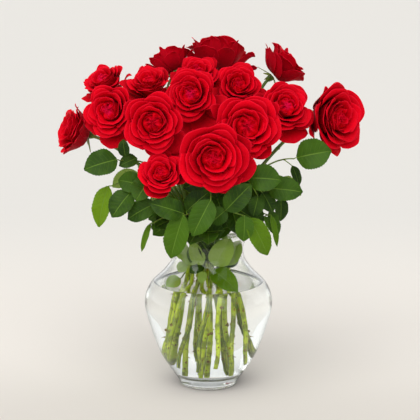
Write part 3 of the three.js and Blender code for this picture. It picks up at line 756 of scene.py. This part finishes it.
# The studio is a dim dome with soft panels, each by its azimuth from -Y towards +X, half its width,
# its lowest and highest elevation, all in degrees, and its radiance.
DOME = {"zenith": (0.42, 0.43, 0.44), "front": (0.32, 0.32, 0.32), "back": (0.98, 0.99, 0.99)}
PANELS = [
    (-12, 50, 34, 86, 2.15),
    (-12, 46, 8, 34, 1.2),
    (-100, 26, 1, 40, 0.7),
    (108, 14, 1, 45, 0.6),
    (180, 60, 40, 70, 0.4),
]
PANEL_SOFTNESS = 5
CLEAR_BOUNCES = 24
# The floor's tints are painted shade and light: darker towards the front, and lighter round the vase,
# where they make up for the bunch's shadow.
FLOOR = {
    "radius": 60, "height": -0.3, "sides": 64, "grain": (0.7, 0.67, 0.63),
    "front": (0.735, 0.690, 0.628), "middle": (0.855, 0.808, 0.745), "far": (0.78, 0.753, 0.708),
}
FLOOR_RUNS = ((-0.28, 0.20), (0.25, 1.30))  # along Y, from its front tint to its middle and far tints


def soft_edge(function, angle):
    """The sine or cosine of the angles where a panel's edge begins and ends."""
    return [function(radians(angle + s)) for s in (-PANEL_SOFTNESS, PANEL_SOFTNESS)]


def make_world():
    g = Graph("studio", "worlds")
    x, y, z = g.split(g.node("TexCoord").outputs["Generated"])
    horizon = g.mix(g.step(y, -0.7, 0.6), DOME["front"], DOME["back"])
    light = g.mix(g.step(z, 0, 0.6), horizon, DOME["zenith"])
    level = g.math("SQRT", g.math("SUBTRACT", 1, g.times(z, z)))
    for azimuth, half, low, high, radiance in PANELS:
        a = radians(azimuth)
        towards = g.math("ADD", g.times(x, sin(a)), g.times(y, -cos(a)))
        near, wide = soft_edge(cos, half)
        mask = g.step(g.math("DIVIDE", towards, level), wide, near)
        mask = g.times(mask, g.step(z, *soft_edge(sin, low)))
        mask = g.times(mask, g.step(z, *soft_edge(sin, high), 1, 0))
        light = g.mix(1, light, g.grey(g.times(mask, radiance)), "ADD")
    scene = bpy.context.scene
    scene.world = g.show(g.node("Background", {0: light}), "OutputWorld")
    scene.view_settings.view_transform = "Standard"
    scene.cycles.max_bounces = CLEAR_BOUNCES
    scene.cycles.transmission_bounces = CLEAR_BOUNCES
    scene.cycles.transparent_max_bounces = CLEAR_BOUNCES


def make_floor():
    surface = Surface()
    angles = around(FLOOR["sides"])
    ring = np.stack([np.cos(angles), np.sin(angles), 0 * angles], axis=1) * FLOOR["radius"] / MM
    ring[:, 2] = FLOOR["height"]
    surface.add(ring, [np.arange(len(ring))[None]], ring[:, :2], np.zeros(ring.shape), 0)
    g = Graph("floor")
    away = g.split(g.place())[1]
    # Painted shade and light: darker towards the front, lighter round the vase.
    floor_tint_painted_light = g.mix(g.step(away, *FLOOR_RUNS[0]), FLOOR["front"], FLOOR["middle"])
    floor_tint_painted_light = g.mix(g.step(away, *FLOOR_RUNS[1]), floor_tint_painted_light, FLOOR["far"])
    floor_tint_painted_light = g.mix(g.times(g.noise(g.place(), 6.0, 2.0), 0.03), floor_tint_painted_light, FLOOR["grain"])
    surface.build("floor", [g.finish(floor_tint_painted_light, 0.9, {"Specular IOR Level": 0.0})])


# ---Vase and water ---
def floor_curve(distance):
    """The wall that far inside the outline, from the lip down, and its bend into the floor."""
    outline = catmull_rom(VASE_OUTLINE, VASE_RINGS)
    tangent = unit(np.gradient(outline, axis=0))
    wall = outline + distance * np.stack([-tangent[:, 1], tangent[:, 0]], axis=1)
    wall = wall[wall[:, 1] > VASE_BEND["height"]][::-1]
    level = VASE_FLOOR + distance - VASE_WALL
    start = wall[-1]
    slope = unit(wall[-1] - wall[-2])
    corner = start + slope * (start[1] - level) / -slope[1]
    bend = bezier([start, corner, [VASE_BEND["radius"], level]], np.linspace(0, 1, 12)[1:])
    return wall, np.concatenate([bend, [[12, level], [AXIS_RING, level]]])


def make_vase():
    outline = catmull_rom(VASE_OUTLINE, VASE_RINGS)
    wall, floor = floor_curve(VASE_WALL)
    tip = unit(outline[-1] - outline[-2])
    middle = (outline[-1] + wall[0]) / 2
    arm = (outline[-1] - wall[0]) / 2
    turn = np.linspace(0, pi, 11)[1:-1, None]
    lip = middle + np.cos(turn) * arm + np.sin(turn) * np.linalg.norm(arm) * tip
    surface = Surface()
    profile = np.concatenate([np.array(VASE_FOOT, float), outline, lip, wall, floor])
    lathe(surface, profile, VASE_SIDES, 0)
    return surface.build("glass_vase", [clear_material("vase_glass", GLASS)], sharp=60)


def make_water():
    wall, floor = floor_curve(VASE_WALL - WATER_OVERLAP)
    wall = wall[wall[:, 1] < WATER_LEVEL + MENISCUS["height"]]
    rim = wall[0, 0]
    spans = np.linspace(1, 0, 8)[:, None]
    rise = MENISCUS["height"] * spans**3
    meniscus = np.concatenate([rim - MENISCUS["width"] * (1 - spans), WATER_LEVEL + rise], axis=1)
    top = np.array([[radius, WATER_LEVEL] for radius in WATER_RINGS])
    profile = np.concatenate([floor[::-1], wall[1:][::-1], meniscus, top[::-1]])
    surface = Surface()
    lathe(surface, profile, VASE_SIDES, 0)
    return surface.build("vase_water", [clear_material("vase_water", WATER)], sharp=50)


# ---Stems ---
def stem_below(rose, height):
    t = (NECK_HEIGHT - height) / (NECK_HEIGHT - FOOT_HEIGHT)
    twist = radians(FOOT_TWIST)
    real = 1 - t + t * FOOT_SPREAD * cos(twist)
    turned = t * FOOT_SPREAD * sin(twist)
    azimuth, radius = radians(rose.slot[0]), rose.slot[1]
    x = radius * cos(azimuth)
    y = radius * sin(azimuth)
    return np.array([real * x - turned * y, turned * x + real * y, height])


def calyx_of(rose):
    return np.array(rose.rim) - direction(rose.faces) * BLOOM_DEPTH * rose.across / 2


def stem_curve(rose, count):
    neck = stem_below(rose, NECK_HEIGHT)
    ahead = direction(rose.faces)
    upwards = unit(neck - stem_below(rose, rose.foot))
    top = calyx_of(rose) - ahead * STEM_END
    reach = np.linalg.norm(top - neck)
    points = [neck, neck + upwards * STEM_LEAD * reach, top - ahead * STEM_BEND, top]
    return bezier(points, np.linspace(0, 1, count + 1))


def stem_at(rose, height):
    if height <= NECK_HEIGHT:
        return stem_below(rose, height)
    fine = stem_curve(rose, 60)
    return fine[np.argmax(fine[:, 2] >= height)]


STEM, LEAF, THORN, PITH, SEPALS = range(5)


def thorn(surface, root, out, down, size):
    """A curved prickle, wide at its root and hooked downwards."""
    tip = root + out * size + down * size * 0.5
    path = bezier([root, root + out * size * 0.7, tip], np.linspace(0, 1, len(THORN_RADII)))
    tube(surface, path, size * THORN_RADII, 8, THORN)


def beside(ahead, angle):
    """A way out of a stem that goes ahead, turned by an angle round it."""
    return unit(np.cross(ahead, [cos(angle), sin(angle), 0.1]))


def stem(surface, rose, rng):
    below, above = STEM_ROWS["below"], STEM_ROWS["above"]
    heights = np.linspace(rose.foot, NECK_HEIGHT, below + 1)[:-1]
    path = np.concatenate([[stem_below(rose, h) for h in heights], stem_curve(rose, above)])
    # Stems are never quite straight.
    sway = np.clip((NECK_HEIGHT - path[:, 2]) / STEM_SWAY["fades_over"], 0, 1) * STEM_SWAY["size"]
    for axis in (0, 1):
        turns = 2 * pi * path[:, 2] / STEM_SWAY["length"] * rng.uniform(0.7, 1.3)
        path[:, axis] += sway * np.sin(turns + rng.uniform(0, 2 * pi))
    run = run_along(path)
    radii = np.interp(np.arange(len(path)), [0, below, below + above], list(STEM_RADIUS.values()))

    def point(at):
        return np.array([np.interp(at, run, path[:, i]) for i in range(3)])

    # A swelling at each node, where a leaf was or is. Under water the nodes are closer.
    nodes = []
    at = rng.uniform(*NODES["first"])
    while at < run[-1] - NODES["bare"]:
        nodes.append(at)
        at += rng.uniform(*NODES["wet" if point(at)[2] < WATER_LEVEL else "dry"])
    for at in nodes:
        radii = radii + NODES["swelling"] * np.exp(-(((run - at) / NODES["length"]) ** 2))
    # Its share, mostly low, sets how much darker it is painted under water: painted shade.
    tube(surface, path, radii, STEM_SIDES, STEM, rng.random() ** 1.5)
    for k, at in enumerate(nodes):
        middle = point(at)
        ahead = unit(point(at + 3) - middle)
        angle = k * 2.4 + rng.uniform(0, 1)
        side = beside(ahead, angle)
        radius = np.interp(at, run, radii)
        root = middle + side * (radius - 0.5)
        size = 0.5 + rng.random() ** 1.5
        # The bud or scar of the node, and a prickle near some.
        nub = [root, root + side * 0.7 * size + ahead * 0.8, root + side * 1.2 * size + ahead * 2.2]
        tube(surface, nub, NUB_RADII * size, 8, THORN)
        if rng.random() < THORNS["share"]:
            place = middle + ahead * rng.uniform(*THORNS["beyond"])
            out = beside(ahead, angle + 2)
            root = place + out * (radius - THORNS["sunk"])
            thorn(surface, root, out, -ahead, rng.uniform(*THORNS["size"]))
    # The cut face of the foot.
    foot, up = path[0], unit(path[1] - path[0])
    cut = STEM_RADIUS["foot"] - 0.7
    tube(surface, [foot - up * 0.05, foot + up * 0.3], [cut, cut], STEM_SIDES, PITH)


def calyx(surface, rose, rng):
    axes, origin = facing(direction(rose.faces)), calyx_of(rose)
    lathe(surface, HIP, 20, STEM, (axes, origin))
    rows = np.linspace(0, 1, 15)
    sides = np.linspace(-1, 1, 7)
    length = SEPAL["length"]
    for k in range(SEPAL["count"]):
        angle = 2 * pi * k / SEPAL["count"]
        hook = rng.uniform(*SEPAL["hook"])
        reach = SEPAL["root"] + (length - SEPAL["root"]) * rows
        drop = -1.0 - (SEPAL["droop"] - 1) * rows**1.3 + length * hook * rows**4
        wide = SEPAL["width"] / 2 * (1 - rows) ** 0.7 * (0.75 + 0.5 * rows) + 0.15
        lobes = 1 + 0.5 * np.exp(-(((rows - 0.45) / 0.05) ** 2)) * (k % 2)
        grid = np.empty((len(rows), len(sides), 3))
        grid[..., 0] = reach[:, None]
        grid[..., 1] = (wide * lobes)[:, None] * sides
        grid[..., 2] = drop[:, None] - 0.12 * wide[:, None] * sides**2
        c, s = cos(angle), sin(angle)
        turn = np.array([[c, s, 0], [-s, c, 0], [0, 0, 1]])
        maps = np.stack(np.meshgrid((sides + 1) / 2, rows), axis=-1)
        placed = grid @ turn @ axes + origin
        sheet(surface, placed, SEPAL["thickness"], maps, (0, rng.random(), 0, 1), SEPALS)


# ---Leaves ---
def leaflet(surface, base, tip, width, foot, light, pale, rng):
    base, tip = np.array(base, float), np.array(tip, float)
    run = tip - base
    length = np.linalg.norm(run)
    along = run / length
    outwards = unit(np.array([base[0] + tip[0], base[1] + tip[1], 0]))
    outwards = np.array([LEAF_FACES["side"] * outwards[0], np.sign(outwards[1]), LEAF_FACES["up"]])
    across = unit(np.cross(along, outwards))
    face = np.cross(across, along)

    rows = np.linspace(0, 1, LEAF_TEETH * 4 + 1)
    half = np.linspace(-1, 1, 13)
    outline = smoothed(np.interp(rows, *LEAF_OUTLINE), 5)
    tooth = (rows * LEAF_TEETH) % 1.0
    tooth = np.where(rows < 0.04, 0, 0.07 * tooth)
    side = half[None] * outline[:, None] * width / 2
    side = side * (1 + (tooth[:, None] - 0.03) * np.abs(half[None]) ** 8)
    s = rows[:, None]
    arch = 4 * LEAF_ARCH * s * (1 - s) * length
    lift = smoothed(np.interp(rows, *LEAF_LIFT), 9)
    phase = (s - 0.2 * np.abs(half)) * LEAF_VEINS
    pucker = LEAF_RELIEF * length * np.abs(np.sin(pi * phase))
    pucker = pucker * (1 - np.abs(half) ** 3) * np.abs(half) ** 0.5
    waves = np.sin(2 * pi * (s * rng.uniform(2, 3) + rng.random()))
    ripple = LEAF_RELIEF * length * waves * half**2 * np.sign(half)
    rise = arch + LEAF_FOLD * np.abs(side) + lift[:, None] * length * half**2 + pucker + ripple
    grid = base + s[..., None] * length * along + side[..., None] * across + rise[..., None] * face
    maps = np.stack(np.meshgrid((half + 1) / 2, rows), axis=-1)
    sheet(surface, grid, LEAF_THICKNESS, maps, (1, light, float(pale), 1), LEAF)
    # Its own stalk, which goes on under the blade as the midrib.
    bend = (foot + base) / 2
    bend[2] += 0.6
    path = bezier([foot, bend, base], np.linspace(0, 1, 6))
    path = np.concatenate([path, grid[4:40:4, len(half) // 2] - face * MIDRIB_SUNK])
    radii = np.concatenate([[0.75, 0.7, 0.66, 0.62, 0.6, 0.6], np.linspace(0.58, 0.2, 9)])
    tube(surface, path, radii, 8, STEM, STALK_TINT)


def leaf(surface, rose, height, leaflets, rng, pale=False):
    root = stem_at(rose, height)
    base = np.array(leaflets[0][0], float)
    reach = np.linalg.norm(base - root)
    end = base + (root - base) * STALK_SHORT / reach
    bend = (root + end) / 2
    bend[2] += STALK_RISE * np.linalg.norm(root - end)
    path = bezier([root, bend, end], np.linspace(0, 1, 16))
    radii = np.linspace(STALK_RADIUS * 1.15, STALK_RADIUS * 0.7, 16)
    tube(surface, path, radii, 8, STEM, STALK_TINT)
    for place, tip, width, *known in leaflets:
        # A leaflet without a given lightness is painted darker: painted shade inside the bunch.
        light = known[0] if known else rng.uniform(0, 0.45)
        nearest = path[4:][np.argmin(np.linalg.norm(path[4:] - np.array(place), axis=1))]
        leaflet(surface, place, tip, width, nearest, light, pale, rng)


def fill_leaves(rng):
    """The leaves inside the bunch, each on the stem nearest to its place."""
    leaves = []
    for k in range(FILL["count"]):
        azimuth = radians(k * GOLDEN_ANGLE)
        out = np.array([sin(azimuth), -cos(azimuth), 0])
        aside = np.array([cos(azimuth), sin(azimuth), 0])
        low, high = FILL["height"]
        height = low + (high - low) * (k * 0.618 % 1)
        reach = rng.uniform(*FILL["reach"])
        base = out * reach + np.array([0, 0, height + rng.uniform(*FILL["above"])])
        length = rng.uniform(*FILL["length"])
        down = rng.uniform(*FILL["slope"])
        tips = [base + length * unit(out + np.array([0, 0, down]))]
        bases = [base]
        for turn in (-1, 1):
            side = base - out * 9 + aside * turn * 3
            bases.append(side)
            slope = np.array([0, 0, rng.uniform(*FILL["side_slope"])])
            tips.append(side + 0.85 * length * unit(aside * turn + 0.35 * out + slope))
        leaflets = []
        for place, tip in zip(bases, tips):
            # One that would hang into the vase's mouth is drawn up, as long as it was.
            short = max(FILL["lowest"] - tip[2], 0)
            run = unit(tip - place + np.array([0, 0, 1.4 * short])) * np.linalg.norm(tip - place)
            leaflets.append((place, place + run, FILL["width"] * length))
        nearest = min(range(len(ROSES)), key=lambda i: np.linalg.norm(stem_at(ROSES[i], height) - base))
        leaves.append((nearest + 1, height, leaflets))
    return leaves


# ---Blooms ---
def rolled(profile, along, roll):
    """Points and normals of a petal's profile, its last stretch rolled outwards."""
    held = np.minimum(along, ROLL_START)
    step = 1e-3
    point = bezier(profile, held)
    tangent = (bezier(profile, held + step) - bezier(profile, held - step)) / (2 * step)
    speed = np.linalg.norm(tangent, axis=-1, keepdims=True)
    tangent = tangent / speed
    normal = np.stack([tangent[..., 1], -tangent[..., 0]], axis=-1)
    ahead = (along - held)[..., None] * speed
    bend = max(roll, 1e-3) / ((1 - ROLL_START) * speed)
    turn = bend * ahead
    point = point + tangent * np.sin(turn) / bend + normal * (1 - np.cos(turn)) / bend
    return point, normal * np.cos(turn) - tangent * np.sin(turn)


def petal_form(share):
    """The profile and the numbers of a petal that reaches a share of the rim's radius."""
    keys = np.array(PETAL_KEYS)
    numbers = [np.interp(share, keys[:, 0], keys[:, k]) for k in range(1, keys.shape[1])]
    return np.array(numbers[:8]).reshape(4, 2), numbers[8:]


def petal(surface, share, turn, place, radius, rng, form=None, ragged=0):
    profile, (half_angle, tuck, curl, roll, rounding) = form or petal_form(share)
    profile = profile.copy()
    reach = 1 + rng.uniform(*VARIES["reach"]) - 0.04 * ragged * rng.random()
    profile[2:, 0] *= reach * (PETAL_REACH if share > 0.9 else 1)
    profile[2:, 1] *= 1 + rng.uniform(*VARIES["height"])
    half_angle = radians(half_angle) * rng.uniform(*VARIES["angle"])
    roll *= rng.uniform(*VARIES["roll"]) + 0.3 * ragged
    rounding *= rng.uniform(*VARIES["rounding"]) + 0.6 * ragged
    v = np.linspace(0, 1, PETAL_ROWS) ** 0.85
    u = np.linspace(-1, 1, PETAL_COLUMNS)
    vv, uu = np.meshgrid(v, u, indexing="ij")
    waves = rng.uniform(0, 2 * pi, 4)
    power = rng.uniform(*VARIES["power"]) - 0.2 * ragged
    notch = 0.018 * np.sin(4.2 * uu + waves[0]) + 0.008 * np.sin(9 * uu + waves[1])
    notch = notch * (1 + 2.5 * ragged)
    lean = rng.uniform(*VARIES["lean"])
    along = vv * (1 - rounding * np.abs(uu) ** power + (notch + lean * uu) * vv)
    flat, normal = rolled(profile, np.clip(along, 0, 1.04), roll)
    ripple = (0.014 + 0.016 * min(share, 1)) * (1 + ragged) * along**3
    ripple = ripple * (np.sin(3.1 * uu + waves[2]) + 0.5 * np.sin(6.4 * uu + waves[3]))
    shift = tuck * uu * np.sqrt(vv) + ripple
    flat = flat + shift[..., None] * normal
    out = flat[..., 0] + curl * np.abs(uu) ** 3 * along**3
    up = flat[..., 1] - curl * np.abs(uu) ** 3 * along
    angle = turn + uu * half_angle * (1 - PETAL_NARROWING * vv**4)
    grid = np.stack([out * np.cos(angle), out * np.sin(angle), up], axis=-1) * radius
    axes, origin = place
    maps = np.stack([(uu + 1) / 2, vv], axis=-1)
    thickness = PETAL_THICKNESS * (1 - 0.55 * vv**4)
    tone = (share, rng.random(), 0, 1)
    # The grid's columns run clockwise, so its front is the petal's inner face.
    sheet(surface, grid[:, ::-1] @ axes + origin, thickness, maps[:, ::-1], tone, 0)


def whorl(surface, row, start, place, radius, rng, ragged=0):
    count, first, last, step, spread = row
    for k in range(count):
        share = first + (last - first) * k / (count - 1)
        turn = start + radians(step) * k + rng.normal(0, spread)
        petal(surface, share, turn, place, radius, rng, ragged=ragged)


def guard(surface, row, place, radius, rng, ragged):
    """A loose outermost petal, most of which hang below the rim."""
    turn, reach, height, half_angle, *point = row
    shoulder = (GUARD_PROFILE["shoulder"] * reach, height + 0.05)
    profile = np.array([GUARD_PROFILE["root"], GUARD_PROFILE["belly"], shoulder, (reach, height)])
    numbers = (half_angle, *GUARD_EDGES, point[0] if point else GUARD_ROUNDING)
    petal(surface, GUARD_LAYER, radians(turn), place, radius, rng, (profile, numbers), ragged)


def core(surface, place, radius, start):
    """The folded middle of a bloom, which closes it behind the petals of its heart."""
    angles = around(CORE_SIDES)
    profile = catmull_rom(CORE, CORE_RINGS)
    out, up = profile[:, :1], profile[:, 1:]
    folds = 0 * angles
    for count, swirl in zip(CORE_FOLDS["counts"], CORE_FOLDS["swirl"]):
        folds = folds + np.sin(count * (angles + start) + swirl * 6 * out)
    high = up * (1 + CORE_FOLDS["depth"] * folds * np.clip(out / 0.2, 0, 1) * (up > 0.5))
    points = np.stack([out * np.cos(angles), out * np.sin(angles), high], axis=-1) * radius
    maps = np.broadcast_to(CORE_MAP, points.shape[:2] + (2,))
    tones = np.stack(np.broadcast_arrays(out, CORE_SHARE, 0 * angles), axis=-1)
    axes, origin = place
    rings(surface, points @ axes + origin, maps, tones, 0)


def bloom(rose, number, rng):
    surface = Surface()
    radius = rose.across / 2
    axes, origin = place = facing(direction(rose.faces)), calyx_of(rose)
    start = (number - 1) * BLOOM_TURN
    core(surface, place, radius, start)
    ragged = float(number in RAGGED)
    lobes = LOBES.get(number, 0)
    for k in range(lobes):
        angle = start + 2 * pi * k / lobes + rng.uniform(-LOBE["turn"], LOBE["turn"])
        away = LOBE["place"] * radius * rng.uniform(*LOBE["away"])
        middle = origin + away * np.array([cos(angle), sin(angle), 0]) @ axes
        turn = rng.uniform(0, 2 * pi)
        for j, share in enumerate(LOBE["petals"]):
            spin = turn + j * radians(GOLDEN_ANGLE)
            petal(surface, share, spin, (axes, middle), radius * rng.uniform(*LOBE["size"]), rng)
    if not lobes:
        whorl(surface, BUD, start, place, radius, rng)
    for row in WHORLS:
        whorl(surface, row, start, place, radius, rng, ragged if row[1] > RAGGED_FROM else 0)
    for row in GUARDS.get(number, []):
        guard(surface, row, place, radius, rng, ragged)
    return surface


# ---Assembly ---
def dress(piece, node):
    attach(piece, "root")
    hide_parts(node)


make_camera()
make_world()
make_floor()
dress(make_vase(), "vase")
dress(make_water(), "water")

red_petals = petal_material("rose_petal", (0.74, 0, 0.026))
pink_petals = petal_material("rose_petal_pink_heart", (0.86, 0.004, 0.085))
green_finish = [stem_material(), leaf_material(), scar_material(), pith_material(), sepal_material()]
filling = fill_leaves(np.random.default_rng([SEED, len(ROSES)]))
for number, rose in enumerate(ROSES, 1):
    rng = np.random.default_rng([SEED, number - 1])
    finish = pink_petals if number in PINK_HEARTS else red_petals
    petals = bloom(rose, number, rng).build(f"petals_{number:02d}", [finish])
    dress(petals, f"bloom_{number:02d}")
    greens = Surface()
    stem(greens, rose, rng)
    calyx(greens, rose, rng)
    for table, pale in ((LEAVES + SHADE_LEAVES + filling, False), (NECK_LEAVES, True)):
        for owner, height, leaflets in table:
            if owner == number:
                leaf(greens, rose, height, leaflets, rng, pale)
    greenery = greens.build(f"greens_{number:02d}", green_finish, sharp=50)
    dress(greenery, f"stem_{number:02d}")
